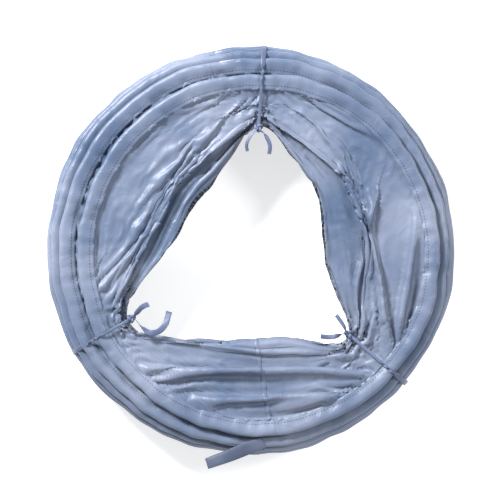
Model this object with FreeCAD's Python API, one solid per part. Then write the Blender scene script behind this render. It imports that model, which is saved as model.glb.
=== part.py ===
"""Collapsible dog agility tunnel, pressed flat and tied in three places.

The tunnel's axis is +Z. It lies on its first hoop, and the origin is on the
ground at the centre of the folded bundle. All lengths are in millimetres.
"""
import FreeCAD, Part
import math
import os

os.makedirs("parts", exist_ok=True)

# ---- hoops -----------------------------------------------------------------
HOOP_COUNT = 10
BUNDLE_RADIUS = 300.0        # outer radius of the middle of the folded bundle
END_INSET = 35.0             # how much smaller the two end hoops are
INSET_FADE = 1.2             # hoops over which that inset fades out
TOP_SHIFT = (13.0, -6.0)     # the last hoop lies this far off the axis
PITCH = 10.0                 # rise from one folded hoop to the next
FOOT_HEIGHT = 1.8            # hem piping under the first sleeve
WIRE_DIAMETER = 2.5
FERRULE_RADIUS = 2.2
FERRULE_LENGTH = 32.0
FERRULE_GAP = 0.05           # between the wire and the crimped ferrule

# ---- sleeves ---------------------------------------------------------------
SLEEVE_WIDTH = 9.0           # radial size of the stuffed channel
SLEEVE_HEIGHT = 7.8
SLEEVE_CORNER = 2.9
CAVITY_RADIUS = 2.8
HEM_REACH = 26.0             # outer edge to the inner edge of the sewn hem
HEM_THICKNESS = 1.2
FOOT_INSET = (8.0, 1.0)      # foot ring, in from the outer edge
FOOT_BITE = 1.0              # how far the foot reaches into the sleeve
RING_ARCS = 4

# ---- panels ----------------------------------------------------------------
PANEL_COUNT = HOOP_COUNT - 1
SHEET = 1.0                  # one folded layer of lined cloth
FOLD_WALL = 1.2
HEM_GAP = 0.3
PANEL_EDGE_GAP = 1.0
FOLD_CORNER = 9.0
DRAWN_BACK = {8: 35.0, 7: 15.0, 6: 5.0}   # upper folds lie further out
# The opening is a rounded triangle: corners at the ties, arcs between them.
OPENING_CORNERS = ((191.0, 86.0), (213.0, 210.0), (202.0, 319.0))
OPENING_MIDS = ((103.0, 147.0), (130.0, 266.0), (109.0, 15.0))

# ---- ties ------------------------------------------------------------------
TIE_ANGLES = {"top": 86.0, "left": 210.0, "right": 319.5}
TIE_INNER_LEG = {"top": 180.0, "left": 201.0, "right": 190.0}
RIBBON_WIDTH = 10.0
RIBBON_THICKNESS = 1.2
RIBBON_CLEARANCE = 0.4
NOTCH_WIDTH = 12.0
OUTER_SPLIT = 50.0           # height at which the two ribbon ends meet outside
KNOT_RADIUS = 4.4
KNOT_HEIGHT = 93.0
LOOSE_END_WIDTH = 9.0
LOOSE_END_Z = 97.7
# Loose ends, as points in the plane of the bundle, from the knot outwards.
LOOSE_ENDS = {
    "top": [[(12.0, 175.0), (26.0, 162.0), (30.0, 146.0)],
            [(12.0, 175.0), (-2.0, 162.0), (-6.0, 148.0)]],
    "left": [[(-170.0, -98.0), (-148.0, -119.0), (-126.0, -111.0), (-119.0, -90.0)],
             [(-170.0, -98.0), (-160.0, -86.0), (-150.0, -80.0)]],
    "right": [[(140.5, -120.0), (123.0, -126.0), (104.0, -127.0)],
              [(140.5, -120.0), (134.0, -107.0), (127.0, -96.0)]],
}

# ---- peg strap -------------------------------------------------------------
STRAP_ROOT = (18.0, -281.0)
STRAP_TIP = (-60.0, -297.0)
STRAP_WIDTH = 18.0
STRAP_THICKNESS = 1.2


def vec(x, y, z=0.0):
    return FreeCAD.Vector(x, y, z)


def polar(radius, degrees, z=0.0):
    angle = math.radians(degrees)
    return vec(radius * math.cos(angle), radius * math.sin(angle), z)


def export(shape, name):
    shape.exportStep("parts/%s.step" % name)


def hoop_radius(i):
    """Outer radius of hoop i: the two ends lie inside the bulging middle."""
    above = HOOP_COUNT - 1 - i
    fade = math.exp(-above / INSET_FADE) + math.exp(-i / INSET_FADE)
    return BUNDLE_RADIUS - END_INSET * fade


def hoop_centre(i):
    fade = math.exp(-(HOOP_COUNT - 1 - i) / INSET_FADE)
    return vec(TOP_SHIFT[0] * fade, TOP_SHIFT[1] * fade)


def hoop_base(i):
    """Height of the underside of sleeve i."""
    return FOOT_HEIGHT + PITCH * i


def wire_height(i):
    return hoop_base(i) + SLEEVE_HEIGHT / 2


def wire_circle(i):
    return hoop_radius(i) - SLEEVE_WIDTH / 2


def reach(i, degrees):
    """Distance from the axis to the outer edge of hoop i along an angle."""
    along = hoop_centre(i).dot(polar(1.0, degrees))
    across = hoop_centre(i).Length ** 2 - along ** 2
    return along + math.sqrt(hoop_radius(i) ** 2 - across)


# ---- hoop: spring-steel wire closed by a crimped ferrule --------------------
def hoop_wire(i):
    middle = hoop_centre(i) + vec(0, 0, wire_height(i))
    return Part.makeTorus(wire_circle(i), WIRE_DIAMETER / 2, middle)


def ferrule(i):
    """Crimped tube round the joint of the wire, on alternate sides."""
    bore = WIRE_DIAMETER / 2 + FERRULE_GAP
    section_at = vec(wire_circle(i), 0, wire_height(i))
    rings = [Part.Face(Part.Wire(Part.makeCircle(r, section_at, vec(0, 1, 0))))
             for r in (FERRULE_RADIUS, bore)]
    span = math.degrees(FERRULE_LENGTH / wire_circle(i))
    body = rings[0].cut(rings[1]).revolve(vec(0, 0), vec(0, 0, 1), span)
    side = 270.0 if i % 2 else 97.0
    body.rotate(vec(0, 0), vec(0, 0, 1), side - span / 2)
    body.translate(hoop_centre(i))
    return body


# ---- sleeve: the cloth channel that holds the hoop --------------------------
def rounded_rectangle(x0, z0, width, height, corner):
    """Face in the XZ plane with four quarter-round corners."""
    x1, z1 = x0 + width, z0 + height
    diagonal = corner * (1 - math.sqrt(0.5))
    corners = [(x0, z0, 1, 1), (x1, z0, -1, 1), (x1, z1, -1, -1), (x0, z1, 1, -1)]
    edges = []
    ends = []
    for n, (x, z, dx, dz) in enumerate(corners):
        on_upright = vec(x, 0, z + dz * corner)
        on_level = vec(x + dx * corner, 0, z)
        middle = vec(x + dx * diagonal, 0, z + dz * diagonal)
        first, last = (on_upright, on_level) if n % 2 == 0 else (on_level, on_upright)
        edges.append(Part.Arc(first, middle, last).toShape())
        ends.append((first, last))
    for n in range(4):
        edges.append(Part.makeLine(ends[n][1], ends[(n + 1) % 4][0]))
    return Part.Face(Part.Wire(Part.__sortEdges__(edges)))


def rectangle(x0, z0, width, height):
    x1, z1 = x0 + width, z0 + height
    corners = [vec(x0, 0, z0), vec(x1, 0, z0), vec(x1, 0, z1), vec(x0, 0, z1)]
    return Part.Face(Part.makePolygon(corners + corners[:1]))


def sleeve(i):
    outer = hoop_radius(i)
    base = hoop_base(i)
    section = rounded_rectangle(outer - SLEEVE_WIDTH, base, SLEEVE_WIDTH, SLEEVE_HEIGHT,
                                SLEEVE_CORNER)
    hem_base = wire_height(i) - HEM_THICKNESS / 2
    hem = rectangle(outer - HEM_REACH, hem_base, HEM_REACH - SLEEVE_WIDTH + 1, HEM_THICKNESS)
    section = section.fuse(hem).removeSplitter().Faces[0]
    wire_at = vec(wire_circle(i), 0, wire_height(i))
    cavity = Part.Face(Part.Wire(Part.makeCircle(CAVITY_RADIUS, wire_at, vec(0, 1, 0))))
    body = turned(section.cut(cavity))
    if i == 0:
        foot_width = FOOT_INSET[0] - FOOT_INSET[1]
        foot = turned(rectangle(outer - FOOT_INSET[0], 0, foot_width, base + FOOT_BITE))
        for degrees in TIE_ANGLES.values():
            foot = foot.cut(foot_notch(degrees))
        body = body.fuse(foot)
    body.translate(hoop_centre(i))
    return body


def turned(section):
    """Ring made of equal turned arcs of one section."""
    span = 360.0 / RING_ARCS
    arc = section.revolve(vec(0, 0), vec(0, 0, 1), span)
    arcs = []
    for n in range(RING_ARCS):
        turn_by = arc.copy()
        turn_by.rotate(vec(0, 0), vec(0, 0, 1), n * span)
        arcs.append(turn_by)
    return arcs[0].fuse(arcs[1:])


def foot_notch(degrees):
    """Gap in the foot that lets a tie pass under the first hoop."""
    height = FOOT_HEIGHT + FOOT_BITE
    cutter = Part.makeBox(60, NOTCH_WIDTH, height, vec(230, -NOTCH_WIDTH / 2, 0))
    cutter.rotate(vec(0, 0), vec(0, 0, 1), degrees)
    return cutter


# ---- panel: cloth between two hoops, folded inwards -------------------------
def opening_outline(grow):
    """Face of the opening, grown outwards, with rounded corners."""
    corners = [polar(*c) for c in OPENING_CORNERS]
    mids = [polar(*m) for m in OPENING_MIDS]
    arcs = []
    for n, mid in enumerate(mids):
        arcs.append(Part.Arc(corners[n], mid, corners[(n + 1) % 3]).toShape())
    sharp = Part.Face(Part.Wire(arcs))
    core = sharp.makeOffset2D(-FOLD_CORNER)
    return core.makeOffset2D(FOLD_CORNER + grow)


def prism(face, z0, height):
    body = face.extrude(vec(0, 0, height))
    body.translate(vec(0, 0, z0))
    return body


def panel(i):
    """Two flat layers joined at the inner fold, between hoops i and i + 1."""
    grow = DRAWN_BACK.get(i, 2.0 * (i % 2))
    z0 = wire_height(i) + HEM_THICKNESS / 2 + HEM_GAP
    z1 = wire_height(i + 1) - HEM_THICKNESS / 2 - HEM_GAP
    small = min((i, i + 1), key=hoop_radius)
    edge = hoop_radius(small) - SLEEVE_WIDTH - PANEL_EDGE_GAP
    disc = Part.Face(Part.Wire(Part.makeCircle(edge, hoop_centre(small))))
    layer = disc.cut(opening_outline(grow))
    wall = opening_outline(grow + FOLD_WALL).cut(opening_outline(grow))
    body = prism(layer, z0, SHEET)
    body = body.fuse(prism(layer, z1 - SHEET, SHEET))
    body = body.fuse(prism(wall, z0, z1 - z0))
    return body.removeSplitter()


# ---- ties: a ribbon round the bundle, knotted at the opening -----------------
def convex_outline(points):
    """Corners of the convex hull, anticlockwise."""
    def half(ordered):
        chain = []
        for p in ordered:
            while len(chain) > 1 and turn(chain[-2], chain[-1], p) <= 0:
                chain.pop()
            chain.append(p)
        return chain[:-1]
    ordered = sorted(set(points))
    return half(ordered) + half(ordered[::-1])


def turn(a, b, c):
    return (b[0] - a[0]) * (c[1] - a[1]) - (b[1] - a[1]) * (c[0] - a[0])


def bundle_section(tie):
    """Outline, in the tie's radial plane, of what the ribbon goes round."""
    degrees = TIE_ANGLES[tie]
    leg = TIE_INNER_LEG[tie]
    points = [(leg, hoop_base(0) + 3.0), (leg, wire_height(HOOP_COUNT - 1))]
    for i in range(HOOP_COUNT):
        edge = reach(i, degrees)
        for step in (0, 45, 90):
            lean = SLEEVE_CORNER * (1 - math.cos(math.radians(step)))
            rise = SLEEVE_CORNER * (1 - math.sin(math.radians(step)))
            points.append((edge - lean, hoop_base(i) + rise))
            points.append((edge - lean, hoop_base(i) + SLEEVE_HEIGHT - rise))
    return convex_outline(points)


def ribbon_loop(tie):
    corners = [vec(r, 0, z) for r, z in bundle_section(tie)]
    core = Part.Face(Part.makePolygon(corners + corners[:1]))
    inner = core.makeOffset2D(RIBBON_CLEARANCE)
    outer = core.makeOffset2D(RIBBON_CLEARANCE + RIBBON_THICKNESS)
    loop = outer.cut(inner).extrude(vec(0, RIBBON_WIDTH, 0))
    loop.translate(vec(0, -RIBBON_WIDTH / 2, 0))
    return loop


def place_at_tie(shape, tie):
    shape.rotate(vec(0, 0), vec(0, 0, 1), TIE_ANGLES[tie])
    return shape


def knot(tie):
    leg = TIE_INNER_LEG[tie] - RIBBON_CLEARANCE - RIBBON_THICKNESS / 2
    return place_at_tie(Part.makeSphere(KNOT_RADIUS, vec(leg, 0, KNOT_HEIGHT)), tie)


def ribbon_halves(tie):
    """The ribbon below the knot and the ribbon above it."""
    middle = (TIE_INNER_LEG[tie] + BUNDLE_RADIUS) / 2
    inner_split = KNOT_HEIGHT - KNOT_RADIUS - RIBBON_CLEARANCE
    outside = Part.makeBox(200, 40, 100, vec(middle, -20, OUTER_SPLIT - 100))
    inside = Part.makeBox(200, 40, 200, vec(middle - 200, -20, inner_split - 200))
    below = outside.fuse(inside)
    split_gap = RIBBON_CLEARANCE
    below_and_gap = below.fuse(below.translated(vec(0, 0, split_gap)))
    loop = ribbon_loop(tie)
    lower = place_at_tie(loop.common(below), tie)
    upper = place_at_tie(loop.cut(below_and_gap), tie).cut(knot(tie))
    return lower, max(upper.Solids, key=lambda s: s.Volume)


def strip(points, width, thickness, z0):
    """Flat strip along a bent line, with round corners and ends."""
    body = None
    for n, (x, y) in enumerate(points):
        piece = Part.makeCylinder(width / 2, thickness, vec(x, y, z0))
        if n:
            x0, y0 = points[n - 1]
            length = math.hypot(x - x0, y - y0)
            run = Part.makeBox(length, width, thickness, vec(0, -width / 2, 0))
            run.rotate(vec(0, 0), vec(0, 0, 1), math.degrees(math.atan2(y - y0, x - x0)))
            run.translate(vec(x0, y0, z0))
            piece = piece.fuse(run)
        body = piece if body is None else body.fuse(piece)
    return body.removeSplitter()


def loose_ends(tie):
    """The two ends past the knot, lying flat on the cloth."""
    ends = [strip(line, LOOSE_END_WIDTH, RIBBON_THICKNESS, LOOSE_END_Z)
            for line in LOOSE_ENDS[tie]]
    return ends[0].fuse(ends[1]).removeSplitter()


# ---- peg strap: webbing sewn to the last hoop but one ------------------------
def peg_strap():
    along = vec(STRAP_TIP[0] - STRAP_ROOT[0], STRAP_TIP[1] - STRAP_ROOT[1])
    body = Part.makeBox(along.Length, STRAP_WIDTH, STRAP_THICKNESS, vec(0, -STRAP_WIDTH / 2, 0))
    body.rotate(vec(0, 0), vec(0, 0, 1), math.degrees(math.atan2(along.y, along.x)))
    top_of_sleeve = hoop_base(HOOP_COUNT - 2) + SLEEVE_HEIGHT
    body.translate(vec(STRAP_ROOT[0], STRAP_ROOT[1], top_of_sleeve))
    return body


def build():
    for i in range(HOOP_COUNT):
        export(hoop_wire(i), "hoop_wire_%02d" % (i + 1))
        export(ferrule(i), "ferrule_%02d" % (i + 1))
        export(sleeve(i), "channel_sleeve_%02d" % (i + 1))
    for i in range(PANEL_COUNT):
        export(panel(i), "fabric_panel_%02d" % (i + 1))
    for tie in TIE_ANGLES:
        lower, upper = ribbon_halves(tie)
        export(lower, "%s_tie_lower_ribbon" % tie)
        export(upper, "%s_tie_upper_ribbon" % tie)
        export(knot(tie), "%s_tie_knot" % tie)
        export(loose_ends(tie), "%s_tie_loose_ends" % tie)
    export(peg_strap(), "peg_strap")


build()
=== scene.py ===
"""Looks of the folded agility tunnel: sleeved hoops, gathered cloth, ties, peg strap.

Lengths are in metres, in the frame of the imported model. MM turns millimetres
into metres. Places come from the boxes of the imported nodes.
"""
import math

import bpy
import numpy as np
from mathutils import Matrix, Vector


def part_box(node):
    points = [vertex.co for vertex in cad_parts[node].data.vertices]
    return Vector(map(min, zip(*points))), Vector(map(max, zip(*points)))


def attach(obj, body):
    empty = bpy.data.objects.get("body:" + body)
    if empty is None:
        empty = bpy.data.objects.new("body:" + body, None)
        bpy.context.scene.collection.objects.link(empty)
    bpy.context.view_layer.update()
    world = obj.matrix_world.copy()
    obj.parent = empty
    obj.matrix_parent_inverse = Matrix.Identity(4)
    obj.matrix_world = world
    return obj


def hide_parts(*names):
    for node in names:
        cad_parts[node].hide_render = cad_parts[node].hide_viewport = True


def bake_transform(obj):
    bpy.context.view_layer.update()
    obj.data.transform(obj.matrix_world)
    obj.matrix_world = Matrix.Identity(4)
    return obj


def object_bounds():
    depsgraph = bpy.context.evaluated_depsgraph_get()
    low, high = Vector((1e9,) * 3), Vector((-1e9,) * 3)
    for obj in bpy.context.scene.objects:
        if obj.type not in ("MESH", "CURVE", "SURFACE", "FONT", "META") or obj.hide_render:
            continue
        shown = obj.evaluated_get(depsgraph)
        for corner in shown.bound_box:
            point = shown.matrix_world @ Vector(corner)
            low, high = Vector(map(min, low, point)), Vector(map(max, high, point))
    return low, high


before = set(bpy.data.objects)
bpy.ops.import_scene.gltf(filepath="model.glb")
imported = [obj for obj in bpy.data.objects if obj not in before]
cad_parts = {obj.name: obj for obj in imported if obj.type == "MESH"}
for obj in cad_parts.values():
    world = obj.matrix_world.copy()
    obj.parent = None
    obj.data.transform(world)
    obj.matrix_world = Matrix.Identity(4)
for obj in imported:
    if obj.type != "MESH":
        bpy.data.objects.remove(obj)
CAD_LOW, CAD_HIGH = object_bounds()

MM = 0.001
HOOPS = 10
PANELS = HOOPS - 1

# ---- the folded bundle -------------------------------------------------------
SEAM_ANGLE = 274.0            # where the top panel's lengthwise seam lies
SLEEVE_HALF = 4.5 * MM        # wire to the outer edge of its sleeve
STITCH_INSET = 24 * MM        # outer edge of a sleeve to its stitch line
TIE_ANGLES = {"top": 86.0, "left": 210.0, "right": 319.5}
# The opening: polar points (mm, degrees) that the innermost fold goes through.
OPENING = ((183, 86), (133, 105), (104, 145), (123, 180), (205, 210), (150, 243),
           (130, 270), (146, 298), (192, 319), (142, 333), (108, 9), (112, 20),
           (138, 50), (150, 66))
# How far the top fold lies outside the opening, at the same kind of points.
TOP_DRAWN_BACK = ((12, 86), (34, 110), (46, 145), (36, 185), (10, 210), (1, 235),
                  (0, 270), (1, 300), (10, 319), (40, 345), (58, 10), (52, 35),
                  (30, 60))

STITCH_PITCH = 5.0 * MM
STITCH_LENGTH = 3.6 * MM
STITCH_LINE = (17.5, 1.9)     # inset and height (mm) of the stitches on a sleeve
THREAD_WIDTH = 1.2 * MM
THREAD_RISE = 0.35 * MM

# ---- cloth -------------------------------------------------------------------
FOLDING_FRAMES = 16           # frames in which the hem is brought to the fold
SETTLING_FRAMES = 32          # frames in all of one cloth simulation
BENDING_STIFFNESS = 1.6
FINE_GRID = (300, 30)         # columns and rows of one layer that is simulated
PLAIN_GRID = (540, 18)        # and of one that is gathered by formula
SLACK = 1.35                  # length of a layer against its room, when simulated
TOP_SLACK = 1.6
TIE_BUNCHING = 0.55           # how strongly the ties draw the cloth together
LAYER_SAG = 3 * MM
UNFOLDED_RADIUS = 0.27        # of the open cylinder that each panel is first built as
UNDER_PLEATS = 80             # gathers below a simulated layer: count and height (mm)
UNDER_HEIGHT = 5.6
UNDER_SAG = 5.0 * MM
UNDER_FLAT = 0.3              # share of the lower layer, from the fold, that fades to flat
LEAST_HEIGHT = 0.3 * MM       # of panel cloth above the floor
SEAM_WIDTH = 6 * MM
SEAM_TURN = 9                 # degrees from one panel's seam to the next

# ---- view --------------------------------------------------------------------
CAMERA_HEIGHT = 20.0
VIEW_WIDTH = 0.7315
SENSOR = 36.0
FLOOR_HALF = 300.0


def node_centre(node):
    low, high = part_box(node)
    return (low + high) / 2


class Hoop:
    """Centre, outer radius of the sleeve and height of one hoop."""

    def __init__(self, number):
        low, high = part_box("hoop_wire_%02d" % number)
        self.number = number
        self.x, self.y, self.z = (low + high) / 2
        wire = (high.z - low.z) / 2
        self.wire_circle = (high.x - low.x) / 2 - wire
        self.outer = self.wire_circle + SLEEVE_HALF


hoops = [Hoop(n + 1) for n in range(HOOPS)]


# ---- small helpers -----------------------------------------------------------
def smooth(t):
    t = np.clip(t, 0.0, 1.0)
    return t * t * (3 - 2 * t)


def periodic(points, degrees):
    """Smooth closed curve through (value, angle) points, at any angles."""
    order = sorted(points, key=lambda p: p[1] % 360)
    angles = np.array([a % 360 for _, a in order], float)
    values = np.array([v for v, _ in order], float)
    angles = np.concatenate([angles[-3:] - 360, angles, angles[:3] + 360])
    values = np.concatenate([values[-3:], values, values[:3]])
    slope = np.gradient(values, angles)
    x = np.asarray(degrees, float) % 360
    k = np.clip(np.searchsorted(angles, x) - 1, 0, len(angles) - 2)
    gap = angles[k + 1] - angles[k]
    t = (x - angles[k]) / gap
    a = (1 + 2 * t) * (1 - t) ** 2 * values[k] + t * (1 - t) ** 2 * gap * slope[k]
    b = t * t * (3 - 2 * t) * values[k + 1] + t * t * (t - 1) * gap * slope[k + 1]
    return a + b


def ripple(angle, waves, seed):
    """Sum of whole waves round the ring with fixed, uneven phases."""
    total = np.zeros_like(angle)
    for n, (count, size) in enumerate(waves):
        phase = math.tau * ((seed * 0.61803 + n * 0.37) % 1.0)
        swell = 1 + 0.6 * np.sin(angle * (2 + n % 3) + phase * 1.7)
        total = total + size * swell * np.sin(angle * count + phase)
    return total


def grid_object(name, points, wrap_rows=False, caps=False):
    """Quads over rows x columns of points; columns close round the ring."""
    rows, columns = points.shape[:2]
    last = rows if wrap_rows else rows - 1
    faces = []
    for r in range(last):
        below = (r + 1) % rows
        for c in range(columns):
            right = (c + 1) % columns
            faces.append((r * columns + c, r * columns + right,
                          below * columns + right, below * columns + c))
    if caps:
        faces.append(tuple(range(columns)))
        faces.append(tuple(range(rows * columns - 1, (rows - 1) * columns - 1, -1)))
    mesh = bpy.data.meshes.new(name)
    mesh.from_pydata(points.reshape(-1, 3).tolist(), [], faces)
    mesh.polygons.foreach_set("use_smooth", [True] * len(mesh.polygons))
    obj = bpy.data.objects.new(name, mesh)
    bpy.context.scene.collection.objects.link(obj)
    return obj


def through(points, count):
    """Smooth open curve through a few points, evenly sampled."""
    points = np.array(points, float)
    steps = np.linalg.norm(np.diff(points, axis=0), axis=1)
    at = np.concatenate([[0], np.cumsum(steps)])
    slope = np.gradient(points, at, axis=0)
    x = np.linspace(0, at[-1], count)
    k = np.clip(np.searchsorted(at, x) - 1, 0, len(at) - 2)
    gap = (at[k + 1] - at[k])[:, None]
    t = (x - at[k])[:, None] / gap
    a = (1 + 2 * t) * (1 - t) ** 2 * points[k] + t * (1 - t) ** 2 * gap * slope[k]
    b = t * t * (3 - 2 * t) * points[k + 1] + t * t * (t - 1) * gap * slope[k + 1]
    return a + b


def unit(vectors):
    return vectors / np.linalg.norm(vectors, axis=-1, keepdims=True)


def strip_points(path, up, width, thickness, twist):
    """Flat strip along a path: rows along it, columns round its section."""
    along = unit(np.gradient(path, axis=0))
    side = unit(np.cross(along, up))
    face = np.cross(side, along)
    turned_side = side * np.cos(twist)[:, None] + face * np.sin(twist)[:, None]
    turned_face = face * np.cos(twist)[:, None] - side * np.sin(twist)[:, None]
    columns = []
    for across, out in ((-1, 0), (-0.9, 0.5), (-0.3, 0.62), (0.3, 0.62), (0.9, 0.5),
                        (1, 0), (0.9, -0.5), (0.3, -0.5), (-0.3, -0.5), (-0.9, -0.5)):
        columns.append(path + turned_side * (across * width / 2)[:, None]
                       + turned_face * out * thickness)
    return np.array(columns).transpose(1, 0, 2)


def strip(name, path, up, width, thickness, twist, material):
    """Object made of such a strip, capped at both ends."""
    points = strip_points(path, up, width, thickness, twist)
    obj = grid_object(name, points, caps=True)
    obj.data.materials.append(material)
    return obj


def set_points(obj, points):
    obj.data.vertices.foreach_set("co", points.reshape(-1).astype(np.float32))
    obj.data.update()


def coordinates(mesh):
    flat = np.empty(len(mesh.vertices) * 3, np.float32)
    mesh.vertices.foreach_get("co", flat)
    return flat.reshape(-1, 3).astype(float)


# ---- materials ---------------------------------------------------------------
def principled(name):
    material = bpy.data.materials.new(name)
    material.use_nodes = True
    return material, material.node_tree.nodes, material.node_tree.links


def cloth_material(name, deep, light, roughness, sheen, weave_mm, crease):
    """Shiny plain-woven cloth: mottled colour, fine weave and small creases."""
    material, nodes, links = principled(name)
    shader = nodes["Principled BSDF"]
    place = nodes.new("ShaderNodeTexCoord")
    patches = nodes.new("ShaderNodeTexNoise")
    patches.inputs["Scale"].default_value = 9.0
    patches.inputs["Detail"].default_value = 3.0
    ramp = nodes.new("ShaderNodeValToRGB")
    ramp.color_ramp.elements[0].position = 0.34
    ramp.color_ramp.elements[0].color = (*deep, 1)
    ramp.color_ramp.elements[1].position = 0.68
    ramp.color_ramp.elements[1].color = (*light, 1)
    links.new(place.outputs["Object"], patches.inputs["Vector"])
    links.new(patches.outputs["Fac"], ramp.inputs["Fac"])
    links.new(ramp.outputs["Color"], shader.inputs["Base Color"])

    creases = nodes.new("ShaderNodeTexNoise")
    creases.inputs["Scale"].default_value = 26.0
    creases.inputs["Detail"].default_value = 5.0
    creases.inputs["Distortion"].default_value = 1.2
    links.new(place.outputs["Object"], creases.inputs["Vector"])
    soft = nodes.new("ShaderNodeBump")
    soft.inputs["Strength"].default_value = crease
    soft.inputs["Distance"].default_value = 6 * MM
    links.new(creases.outputs["Fac"], soft.inputs["Height"])

    threads = []
    for direction in ("X", "Y"):
        wave = nodes.new("ShaderNodeTexWave")
        wave.bands_direction = direction
        wave.inputs["Scale"].default_value = 1.0 / (weave_mm * MM) / math.tau
        wave.inputs["Distortion"].default_value = 0.4
        links.new(place.outputs["Object"], wave.inputs["Vector"])
        threads.append(wave)
    weave = nodes.new("ShaderNodeMath")
    weave.operation = "MULTIPLY"
    links.new(threads[0].outputs["Fac"], weave.inputs[0])
    links.new(threads[1].outputs["Fac"], weave.inputs[1])
    fine = nodes.new("ShaderNodeBump")
    fine.inputs["Strength"].default_value = 0.25
    fine.inputs["Distance"].default_value = 0.15 * MM
    links.new(weave.outputs["Value"], fine.inputs["Height"])
    links.new(soft.outputs["Normal"], fine.inputs["Normal"])
    links.new(fine.outputs["Normal"], shader.inputs["Normal"])

    shine = nodes.new("ShaderNodeMapRange")
    shine.inputs["To Min"].default_value = roughness - 0.07
    shine.inputs["To Max"].default_value = roughness + 0.10
    links.new(patches.outputs["Fac"], shine.inputs["Value"])
    links.new(shine.outputs["Result"], shader.inputs["Roughness"])
    shader.inputs["Specular IOR Level"].default_value = 0.4
    shader.inputs["Sheen Weight"].default_value = sheen
    shader.inputs["Sheen Roughness"].default_value = 0.35
    shader.inputs["Sheen Tint"].default_value = (0.86, 0.89, 1.0, 1)
    return material


def metal_material(name, colour, roughness):
    """Drawn wire: fine scratches along it and slightly uneven shine."""
    material, nodes, links = principled(name)
    shader = nodes["Principled BSDF"]
    shader.inputs["Metallic"].default_value = 1.0
    place = nodes.new("ShaderNodeTexCoord")
    noise = nodes.new("ShaderNodeTexNoise")
    noise.inputs["Scale"].default_value = 400.0
    ramp = nodes.new("ShaderNodeValToRGB")
    ramp.color_ramp.elements[0].color = (*[c * 0.8 for c in colour], 1)
    ramp.color_ramp.elements[1].color = (*colour, 1)
    shine = nodes.new("ShaderNodeMapRange")
    shine.inputs["To Min"].default_value = roughness - 0.1
    shine.inputs["To Max"].default_value = roughness + 0.1
    links.new(place.outputs["Object"], noise.inputs["Vector"])
    links.new(noise.outputs["Fac"], ramp.inputs["Fac"])
    links.new(ramp.outputs["Color"], shader.inputs["Base Color"])
    links.new(noise.outputs["Fac"], shine.inputs["Value"])
    links.new(shine.outputs["Result"], shader.inputs["Roughness"])
    return material


TAFFETA = cloth_material("taffeta", (0.066, 0.098, 0.168), (0.168, 0.196, 0.272),
                         0.42, 0.10, 0.9, 0.38)
RIBBON = cloth_material("tie_ribbon", (0.045, 0.062, 0.12), (0.11, 0.14, 0.23),
                        0.45, 0.15, 0.7, 0.3)
WEBBING = cloth_material("webbing", (0.035, 0.048, 0.085), (0.085, 0.105, 0.160),
                         0.5, 0.10, 1.1, 0.3)
THREAD = cloth_material("thread", (0.02, 0.03, 0.06), (0.045, 0.06, 0.11),
                        0.6, 0.1, 0.6, 0.1)
STEEL = metal_material("spring_steel", (0.60, 0.61, 0.62), 0.3)
FERRULE = metal_material("ferrule", (0.72, 0.72, 0.74), 0.35)


def dress_hoops():
    """The wires and ferrules keep their shape and get a metal finish."""
    for hoop in hoops:
        for stem, material in (("hoop_wire", STEEL), ("ferrule", FERRULE)):
            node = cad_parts["%s_%02d" % (stem, hoop.number)]
            node.data.materials.clear()
            node.data.materials.append(material)


# ---- sleeves -----------------------------------------------------------------
# Half section of a sleeve (mm): in from the outer edge, and up from the wire.
SLEEVE_SECTION = ((24, 0.5), (21, 0.9), (17.5, 1.7), (14, 2.8), (11, 3.6), (8, 4.1),
                  (5, 4.2), (2.6, 3.5), (0.9, 2.1), (0.1, 0.7))


def sleeve_surface(hoop, angle, inset, height):
    """Points of the gathered sleeve cloth (inset and height in mm)."""
    seed = hoop.number * 1.7
    edge = ripple(angle, ((5, 1.0), (11, 0.9), (23, 0.6), (41, 0.4)), seed) * MM
    gather = ripple(angle, ((37, 0.5), (61, 0.45), (89, 0.35)), seed + 3) * MM
    hem = ripple(angle, ((7, 1.5), (17, 1.1), (31, 0.8)), seed + 5) * MM
    on_hem = smooth((inset - 9) / 12.0)
    radius = hoop.outer - inset * MM + edge * (1 - 0.7 * on_hem)
    lift = hem * on_hem * 0.8 + gather * np.sign(height) * (0.4 + on_hem * 0.6)
    points = np.stack([hoop.x + radius * np.cos(angle), hoop.y + radius * np.sin(angle),
                       hoop.z + height * MM + lift], axis=-1)
    points[..., 2] = np.maximum(points[..., 2], 0.4 * MM)
    return points


def sleeve(hoop, columns=540):
    """Gathered cloth channel round one hoop, with its flat stitched hem."""
    angle = np.linspace(0, math.tau, columns, endpoint=False)
    section = list(SLEEVE_SECTION) + [(d, -h) for d, h in SLEEVE_SECTION[::-1]]
    points = np.array([sleeve_surface(hoop, angle, d, h) for d, h in section])
    obj = grid_object("sleeve_cloth_%02d" % hoop.number, points, wrap_rows=True)
    obj.data.materials.append(TAFFETA)
    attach(obj, "hoop_%02d" % hoop.number)
    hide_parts("channel_sleeve_%02d" % hoop.number)
    sleeve_stitches(hoop)
    closing_seam(hoop)


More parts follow.
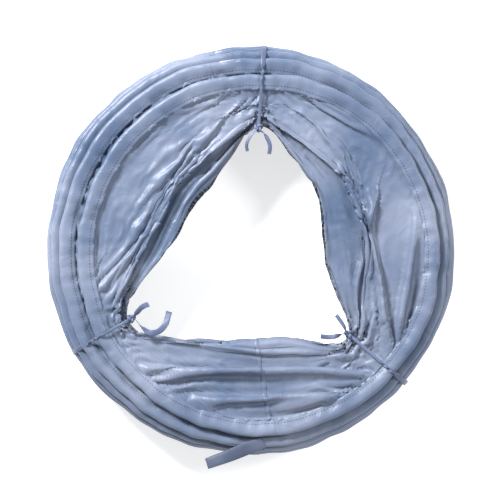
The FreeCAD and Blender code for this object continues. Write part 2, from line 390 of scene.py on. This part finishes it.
def sleeve_stitches(hoop):
    """Running stitch round the hem, one short raised thread after another."""
    count = int(math.tau * hoop.outer / STITCH_PITCH)
    vertices = []
    faces = []
    for n in range(count):
        middle = math.tau * n / count
        half = STITCH_LENGTH / 2 / hoop.outer
        angles = np.array([middle - half, middle, middle + half])
        ends = sleeve_surface(hoop, angles, *STITCH_LINE)
        out = np.array([math.cos(middle), math.sin(middle), 0]) * THREAD_WIDTH / 2
        rise = np.array([0, 0, THREAD_RISE])
        first = len(vertices)
        vertices += [ends[0], ends[1] - out, ends[1] + out, ends[2], ends[1] + rise,
                     ends[1] - rise]
        for a, b in ((0, 2), (2, 3), (3, 1), (1, 0)):
            faces.append((first + a, first + b, first + 4))
            faces.append((first + b, first + a, first + 5))
    mesh = bpy.data.meshes.new("hem_stitch")
    mesh.from_pydata([tuple(v) for v in vertices], [], faces)
    obj = bpy.data.objects.new("hem_stitch_%02d" % hoop.number, mesh)
    bpy.context.scene.collection.objects.link(obj)
    mesh.materials.append(THREAD)
    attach(obj, "hoop_%02d" % hoop.number)


def closing_seam(hoop):
    """Short ridge across the sleeve where its two ends are sewn together."""
    degrees = 268.0 if hoop.number % 2 == 0 else 97.0
    angle = np.array([math.radians(degrees + hoop.number * 0.7)])
    path = np.array([sleeve_surface(hoop, angle, d, h + 0.25)[0] for d, h in SLEEVE_SECTION])
    count = len(path)
    ridge = strip("closing_seam_%02d" % hoop.number, path, np.array([0, 0, 1.0]),
                  np.full(count, 2.2 * MM), 0.5 * MM, np.zeros(count), TAFFETA)
    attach(ridge, "hoop_%02d" % hoop.number)


# ---- panels: one cloth between each two hoops --------------------------------
def tie_gather(degrees, strength):
    """Moves cloth towards the ties, as the ribbons bunch it."""
    moved = degrees.copy()
    for tie in TIE_ANGLES.values():
        off = (degrees - tie + 180) % 360 - 180
        moved = moved - off * strength * np.exp(-(off / 15.0) ** 2)
    return moved


def fold_line(panel, degrees):
    """Radius of the inner fold of a panel, in metres."""
    radius = periodic(OPENING, degrees)
    if panel == PANELS:
        radius = radius + periodic(TOP_DRAWN_BACK, degrees)
    wander = ripple(np.radians(degrees), ((5, 1.2), (9, 1.0), (14, 0.7)), panel * 2.3)
    return (radius + wander + 1.5 * (panel % 3)) * MM


def rim(hoop, degrees):
    angle = np.radians(degrees)
    radius = hoop.outer - STITCH_INSET + 1.5 * MM
    return np.stack([hoop.x + radius * np.cos(angle), hoop.y + radius * np.sin(angle),
                     np.full_like(angle, hoop.z)], axis=1)


def cloth_layout(panel, hoop, fold_z, columns, rows, gather, slack, sag):
    """Start and rest shapes of one layer, from the fold (row 0) to the hem.

    The rest shape is the same layout set on a slope, so it holds more cloth
    between fold and hem than the start has room for.
    """
    degrees = np.linspace(0, 360, columns, endpoint=False)
    bunched = tie_gather(degrees, gather)
    angle = np.radians(bunched)
    radius = fold_line(panel, bunched)
    inner = np.stack([radius * np.cos(angle), radius * np.sin(angle),
                      np.full(columns, fold_z)], axis=1)
    outer = rim(hoop, degrees)
    even_angle = np.radians(tie_gather(degrees, gather * 0.35))
    even_radius = fold_line(panel, np.degrees(even_angle))
    inner_rest = np.stack([even_radius * np.cos(even_angle),
                           even_radius * np.sin(even_angle), np.full(columns, fold_z)], axis=1)
    share = np.linspace(0, 1, rows)[:, None, None]
    start = inner[None] * (1 - share) + outer[None] * share
    rest = inner_rest[None] * (1 - share) + outer[None] * share
    depth = np.linalg.norm((outer - inner_rest)[:, :2], axis=1)
    rise = depth * math.sqrt(slack ** 2 - 1)
    rest[..., 2] += rise[None, :] * share[..., 0]
    bow = np.sin(math.pi * share[..., 0])
    seed = ripple(np.radians(degrees), ((6, 1.0), (13, 0.8), (27, 0.5)), panel * 1.3)[None, :]
    across = np.sin(share[..., 0] * 17 + seed * 0.9)
    pleats = bow * (sag + 3.0 * MM * across + 1.0 * MM * seed)
    start[..., 2] += pleats
    rest[..., 2] += pleats
    return start, rest


def settle(start, rest, floor_z):
    """Lets one layer of cloth find its folds above a floor; ends are held."""
    rows, columns = start.shape[:2]
    obj = grid_object("settling", rest)
    obj.shape_key_add(name="Basis")
    key = obj.shape_key_add(name="Folded")
    key.data.foreach_set("co", start.reshape(-1).astype(np.float32))
    for value, when in ((0.0, 1), (1.0, FOLDING_FRAMES)):
        key.value = value
        key.keyframe_insert("value", frame=when)
    held = obj.vertex_groups.new(name="held")
    ends = list(range(columns)) + list(range((rows - 1) * columns, rows * columns))
    held.add(ends, 1.0, "REPLACE")
    cloth = obj.modifiers.new("Cloth", "CLOTH")
    cloth.settings.vertex_group_mass = "held"
    cloth.settings.quality = 5
    cloth.settings.mass = 0.2
    cloth.settings.tension_stiffness = 20
    cloth.settings.compression_stiffness = 20
    cloth.settings.shear_stiffness = 8
    cloth.settings.bending_stiffness = BENDING_STIFFNESS
    cloth.settings.air_damping = 2.0
    cloth.collision_settings.distance_min = 1.5 * MM
    cloth.point_cache.frame_start = 1
    cloth.point_cache.frame_end = SETTLING_FRAMES
    floor = grid_object("settling_floor", ring_plate(floor_z))
    floor.modifiers.new("Collision", "COLLISION")
    floor.collision.thickness_outer = 1 * MM
    scene = bpy.context.scene
    for number in range(1, SETTLING_FRAMES + 1):
        scene.frame_set(number)
    graph = bpy.context.evaluated_depsgraph_get()
    mesh = obj.evaluated_get(graph).to_mesh()
    found = coordinates(mesh).reshape(rows, columns, 3)
    for used in (obj, floor):
        data = used.data
        bpy.data.objects.remove(used)
        bpy.data.meshes.remove(data)
    scene.frame_set(1)
    return found


def ring_plate(z, columns=96):
    """Flat ring under the whole bundle, for cloth to settle on."""
    angle = np.linspace(0, math.tau, columns, endpoint=False)
    rings = []
    for radius in (0.02, 0.16, 0.32):
        rings.append(np.stack([radius * np.cos(angle), radius * np.sin(angle),
                               np.full(columns, z)], axis=1))
    return np.array(rings[::-1])


def cinched(layer, hoop):
    """The ribbons hold the cloth down along their three lines."""
    for degrees in TIE_ANGLES.values():
        angle = math.radians(degrees)
        aside = layer[..., 1] * math.cos(angle) - layer[..., 0] * math.sin(angle)
        ahead = layer[..., 0] * math.cos(angle) + layer[..., 1] * math.sin(angle)
        room = hoop.z + 1.0 * MM + 9 * MM * (aside / (16 * MM)) ** 2
        pressed = np.minimum(layer[..., 2], room)
        layer[..., 2] = np.where(ahead > 0, pressed, layer[..., 2])
    return layer


def under_layer(upper, hoop, panel, rows):
    """The lower layer: from the hem of the hoop below to the inner fold."""
    columns = upper.shape[1]
    degrees = np.linspace(0, 360, columns, endpoint=False)
    outer = rim(hoop, degrees)
    inner = upper[0]
    share = np.linspace(0, 1, rows)[:, None, None]
    layer = outer[None] * (1 - share) + inner[None] * share
    level = hoop.z + (inner[:, 2] - hoop.z)[None, :] * smooth((share[..., 0] - 0.7) / 0.3)
    wave = ripple(np.radians(degrees), ((8, 0.5), (19, 0.5)), panel)[None, :]
    layer[..., 2] = level + MM * wave * np.sin(math.pi * share[..., 0])
    return layer


def gathered(points, number, pleats=84, height=3.6):
    """Adds the fine gathers of cloth that has more width than room."""
    rows, columns = points.shape[:2]
    angle = np.linspace(0, math.tau, columns, endpoint=False)[None, :]
    share = np.linspace(0, 1, rows)[:, None]
    pulled = angle + 0.03 * np.sin(share * 5 + 7 * angle + number)
    fine = np.sin(pleats * pulled + 2 * np.sin(3 * angle + number) + share * 2.0)
    long = np.sin(share * math.tau * 6 + 3 * np.sin(4 * angle + number * 2))
    fade = smooth((1 - share) / 0.12)
    points[..., 2] += fade * MM * (height * fine + 1.3 * long)
    return points


def unfolded(lower_hoop, upper_hoop, rows, columns):
    """The cloth as an open cylinder between the two hoops."""
    angle = np.linspace(0, math.tau, columns, endpoint=False)
    share = np.linspace(0, 1, rows)[:, None]
    z = lower_hoop.z + (upper_hoop.z - lower_hoop.z) * share + 0 * angle[None]
    x = 0 * share + UNFOLDED_RADIUS * np.cos(angle)[None]
    y = 0 * share + UNFOLDED_RADIUS * np.sin(angle)[None]
    return np.stack([x, y, z], axis=2)


def flattened(layer, hoop):
    """Keeps a covered layer within a few millimetres of its hoop's level."""
    layer[..., 2] = hoop.z - 1 * MM + 4 * MM * np.tanh((layer[..., 2] - hoop.z) / (5 * MM))
    return layer


def loose_under_layer(upper, hoop, number, rows):
    """Lower layer of a simulated panel: deep gathers that fade out at the fold."""
    flat = under_layer(upper, hoop, number, rows)[::-1].copy()
    loose = gathered(flat.copy(), number, pleats=UNDER_PLEATS, height=UNDER_HEIGHT)
    from_fold = smooth(np.linspace(0, 1, rows) / UNDER_FLAT)[:, None, None]
    below = (flat + (loose - flat) * from_fold)[::-1]
    middle = np.sin(np.linspace(0, math.pi, rows))[:, None]
    below[..., 2] -= UNDER_SAG * middle
    return below


def folded_layers(number, fine):
    """Points of both layers of a panel, from the lower hem to the upper one."""
    lower, upper = hoops[number - 1], hoops[number]
    top = number == PANELS
    columns, rows = FINE_GRID if fine else PLAIN_GRID
    slack = TOP_SLACK if top else SLACK
    fold_z = (lower.z + upper.z) / 2
    start, rest = cloth_layout(number, upper, fold_z, columns, rows, TIE_BUNCHING, slack,
                               LAYER_SAG)
    if fine:
        floor_z = lower.z + (2.0 if top else 3.0) * MM
        layer = settle(start, rest, floor_z)
        layer = cinched(layer, upper) if top else flattened(layer, upper)
        below = loose_under_layer(layer, lower, number, rows)
    else:
        layer = gathered(start, number)
        below = gathered(under_layer(layer, lower, number, rows)[::-1], number)[::-1]
    below[-1] = layer[0]
    points = np.concatenate([below[:-1], layer])
    points[..., 2] = np.maximum(points[..., 2], LEAST_HEIGHT)
    return points


def panel(number, fine):
    """One whole panel, folded inwards between its two hoops."""
    lower, upper = hoops[number - 1], hoops[number]
    points = folded_layers(number, fine)
    rows, columns = points.shape[:2]
    cloth = grid_object("panel_cloth_%02d" % number, unfolded(lower, upper, rows, columns))
    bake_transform(cloth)
    set_points(cloth, points)
    cloth.data.materials.append(TAFFETA)
    panel_seam(points, number, SEAM_ANGLE + SEAM_TURN * (number - PANELS), lower, upper)
    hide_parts("fabric_panel_%02d" % number)


def panel_seam(points, number, degrees, lower, upper):
    """Felled seam down the whole panel, where the cloth's two edges join."""
    rows, columns = points.shape[:2]
    column = int(round(degrees / 360 * columns)) % columns
    path = points[:, column].copy()
    across = unit(points[:, (column + 1) % columns] - points[:, column - 1])
    along = unit(np.gradient(path, axis=0))
    face = unit(np.cross(across, along))
    face = face * np.where(face[:, 2:] < 0, -1.0, 1.0)
    half = rows // 2
    face[:half] = -face[:half]
    path = path + face * 0.5 * MM
    path[:, 2] = np.maximum(path[:, 2], 1 * MM)
    section = strip_points(path, face, np.full(rows, SEAM_WIDTH), 0.7 * MM, np.zeros(rows))
    seam = grid_object("panel_seam_%02d" % number,
                       unfolded(lower, upper, rows, section.shape[1]), caps=True)
    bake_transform(seam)
    set_points(seam, section)
    seam.data.materials.append(TAFFETA)


# ---- ties --------------------------------------------------------------------
def reach(hoop, degrees):
    """Distance from the axis to the outer edge of a sleeve along an angle."""
    angle = math.radians(degrees)
    along = hoop.x * math.cos(angle) + hoop.y * math.sin(angle)
    across = hoop.x ** 2 + hoop.y ** 2 - along ** 2
    return along + math.sqrt(hoop.outer ** 2 - across)


def in_tie_plane(profile, degrees):
    angle = math.radians(degrees)
    return [(r * math.cos(angle), r * math.sin(angle), z) for r, z in profile]


def leg_radius(tie):
    """The inner face of the ribbon that runs up inside the opening."""
    x, y, _ = node_centre("%s_tie_knot" % tie)
    return math.hypot(x, y)


def upper_ribbon(tie, degrees):
    """Twisted ribbon from the outside of the bundle over the top to the knot."""
    leg = leg_radius(tie)
    top = hoops[-1]
    profile = [(reach(hoops[5], degrees) + 1.5 * MM, 50.4 * MM)]
    for hoop in hoops[6:9]:
        profile.append((reach(hoop, degrees) + 1.8 * MM, hoop.z))
    edge = reach(top, degrees)
    profile += [(edge + 1.8 * MM, top.z + 1 * MM), (edge - 4 * MM, top.z + 5.6 * MM),
                (edge - 22 * MM, top.z + 4.6 * MM),
                ((edge + leg) / 2, top.z + 3.6 * MM), (leg + 4 * MM, top.z + 1.5 * MM)]
    path = through(in_tie_plane(profile, degrees), 90)
    angle = math.radians(degrees)
    outward = np.array([math.cos(angle), math.sin(angle), 0.6])
    share = np.linspace(0, 1, 90)
    twist = smooth((share - 0.35) / 0.3) * math.tau * 1.5
    width = (7.5 - 3.0 * smooth((share - 0.3) / 0.3)) * MM
    obj = strip("%s_upper_ribbon" % tie, path, outward, width, 1.1 * MM, twist,
                RIBBON)
    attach(obj, "hoop_10")
    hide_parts("%s_tie_upper_ribbon" % tie)


def lower_ribbon(tie, degrees):
    """Flat ribbon from outside, under the bundle, up to below the knot."""
    leg = leg_radius(tie)
    profile = [(reach(hoops[4], degrees) + 1.5 * MM, 49.6 * MM)]
    for hoop in hoops[3:0:-1]:
        profile.append((reach(hoop, degrees) + 1.5 * MM, hoop.z))
    edge = reach(hoops[0], degrees)
    profile += [(edge + 0.6 * MM, 3.5 * MM), (edge - 5 * MM, 1.0 * MM),
                ((edge + leg) / 2, 2.4 * MM), (leg + 3 * MM, 4.2 * MM),
                (leg, 9 * MM), (leg, 40 * MM), (leg, 87 * MM)]
    path = through(in_tie_plane(profile, degrees), 110)
    path[:, 2] = np.maximum(path[:, 2], 1.3 * MM)
    angle = math.radians(degrees)
    sideways = np.array([-math.sin(angle), math.cos(angle), 0])
    along = unit(np.gradient(path, axis=0))
    face = np.cross(np.broadcast_to(sideways, along.shape), along)
    share = np.linspace(0, 1, 110)
    wave = 0.25 * np.sin(share * 19) * smooth((share - 0.6) / 0.1)
    obj = strip("%s_lower_ribbon" % tie, path, face, np.full(110, 8.5 * MM), 1.0 * MM,
                wave, RIBBON)
    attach(obj, "hoop_01")
    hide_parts("%s_tie_lower_ribbon" % tie)


def knot(tie):
    """Overhand knot: a flattened ribbon led round a trefoil."""
    centre = np.array(node_centre("%s_tie_knot" % tie)) + np.array([0, 0, 3.5 * MM])
    t = np.linspace(0, math.tau, 120, endpoint=False)
    line = np.stack([np.sin(t) + 2 * np.sin(2 * t), np.cos(t) - 2 * np.cos(2 * t),
                     -1.4 * np.sin(3 * t)], axis=1) * 1.7 * MM
    along = unit(np.roll(line, -1, axis=0) - np.roll(line, 1, axis=0))
    side = unit(np.cross(along, np.array([0, 0, 1.0])))
    rise = np.cross(side, along)
    around = np.linspace(0, math.tau, 12, endpoint=False)[:, None, None]
    points = centre + line[None] + side[None] * np.cos(around) * 2.1 * MM
    points = points + rise[None] * np.sin(around) * 1.5 * MM
    obj = grid_object("%s_knot" % tie, points, wrap_rows=True)
    obj.data.materials.append(RIBBON)
    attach(obj, "hoop_10")
    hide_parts("%s_tie_knot" % tie)


# Loose ends (mm), from the knot outwards, with the width and twist of each.
LOOSE_ENDS = {
    "top": [([(12, 178, 100), (22, 168, 103), (29, 152, 101), (28, 140, 98)], 6, 2.2),
            ([(12, 178, 100), (2, 168, 102), (-5, 154, 100), (-4, 144, 97)], 5, -1.4)],
    "left": [([(-170, -98, 99), (-158, -112, 103), (-146, -121, 103), (-134, -119, 102),
               (-124, -109, 103), (-118, -90, 100)], 9, 1.5),
             ([(-170, -98, 99), (-164, -90, 102), (-157, -83, 103), (-148, -79, 101)], 8, -1.2)],
    "right": [([(141, -120, 99), (131, -124, 103), (119, -127, 103), (103, -126, 101)], 7, 1.6),
              ([(141, -120, 99), (137, -111, 102), (131, -102, 101), (126, -95, 99)], 6, -1.5)],
}


def loose_ends(tie):
    for count, (line, width, twist) in enumerate(LOOSE_ENDS[tie]):
        path = through(np.array(line) * MM, 48)
        share = np.linspace(0, 1, 48)
        widths = width * MM * (0.45 + 0.55 * smooth(share / 0.3))
        turn_by = twist * (1 - smooth(share / 0.6)) + 0.3 * np.sin(share * 9)
        obj = strip("%s_loose_end_%d" % (tie, count + 1), path, np.array([0, 0, 1.0]),
                    widths, 0.9 * MM, turn_by, RIBBON)
        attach(obj, "hoop_10")
        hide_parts("%s_tie_loose_ends" % tie)


# Webbing doubled into a loop (mm), out along the top and back underneath.
STRAP_LINE = [(20, -281, 92.4), (-4, -290, 94.4), (-32, -301, 95.8), (-54, -309, 95.2),
              (-63, -312, 93.2), (-54, -308, 91.2), (-30, -299, 90.9), (-4, -289, 90.8),
              (18, -282, 90.8)]


def peg_strap():
    path = through(np.array(STRAP_LINE) * MM, 90)
    flat = unit(np.array([62.0, 22.0, 0.0]))
    sideways = np.cross(np.array([0, 0, 1.0]), flat)
    along = unit(np.gradient(path, axis=0))
    face = np.cross(along, np.broadcast_to(sideways, along.shape))
    share = np.linspace(0, 1, 90)
    widths = (17 + 1.5 * np.sin(share * 8)) * MM
    obj = strip("peg_loop", path, face, widths, 0.9 * MM, 0.12 * np.sin(share * 12),
                WEBBING)
    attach(obj, "hoop_09")
    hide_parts("peg_strap")


def ties():
    for tie, degrees in TIE_ANGLES.items():
        upper_ribbon(tie, degrees)
        lower_ribbon(tie, degrees)
        knot(tie)
        loose_ends(tie)


# ---- floor, light, camera ----------------------------------------------------
def plain(name, colour):
    material, nodes, _ = principled(name)
    nodes["Principled BSDF"].inputs["Base Color"].default_value = (*colour, 1)
    nodes["Principled BSDF"].inputs["Roughness"].default_value = 0.9
    nodes["Principled BSDF"].inputs["Specular IOR Level"].default_value = 0.1
    return material


def floor():
    corners = [(FLOOR_HALF * x, FLOOR_HALF * y, 0) for x, y in ((-1, -1), (1, -1), (1, 1), (-1, 1))]
    mesh = bpy.data.meshes.new("floor")
    mesh.from_pydata(corners, [], [(0, 1, 2, 3)])
    obj = bpy.data.objects.new("floor", mesh)
    bpy.context.scene.collection.objects.link(obj)
    pale = plain("pale_floor", (0.72, 0.72, 0.72))
    shader = pale.node_tree.nodes["Principled BSDF"]
    shader.inputs["Emission Color"].default_value = (1, 1, 1, 1)
    shader.inputs["Emission Strength"].default_value = 0.55
    obj.data.materials.append(pale)


def area_light(name, place, size, power):
    data = bpy.data.lights.new(name, "AREA")
    data.shape = "DISK"
    data.size = size
    data.energy = power
    obj = bpy.data.objects.new(name, data)
    obj.location = place
    obj.rotation_euler = (-Vector(place)).to_track_quat("-Z", "Y").to_euler()
    bpy.context.scene.collection.objects.link(obj)


def light():
    world = bpy.data.worlds.new("pale_room")
    world.use_nodes = True
    world.node_tree.nodes["Background"].inputs["Color"].default_value = (0.95, 0.97, 1.0, 1)
    world.node_tree.nodes["Background"].inputs["Strength"].default_value = 0.38
    bpy.context.scene.world = world
    area_light("key", (-2.0, 2.3, 2.2), 1.0, 350)
    area_light("fill", (2.4, 0.6, 2.0), 0.8, 60)
    area_light("low", (0.4, -2.6, 1.9), 0.9, 20)


def camera():
    bpy.context.scene.view_settings.view_transform = "Standard"
    data = bpy.data.cameras.new("camera")
    data.sensor_width = SENSOR
    obj = bpy.data.objects.new("camera", data)
    middle = (CAD_LOW.z + CAD_HIGH.z) / 2
    obj.location = (0, 0, CAMERA_HEIGHT)
    data.lens = SENSOR * (CAMERA_HEIGHT - middle) / VIEW_WIDTH
    data.clip_end = 2 * CAMERA_HEIGHT
    bpy.context.scene.collection.objects.link(obj)
    bpy.context.scene.camera = obj


camera()
light()
floor()
dress_hoops()
for each in hoops:
    sleeve(each)
for count in range(1, PANELS + 1):
    panel(count, fine=count >= PANELS - 1)
ties()
peg_strap()
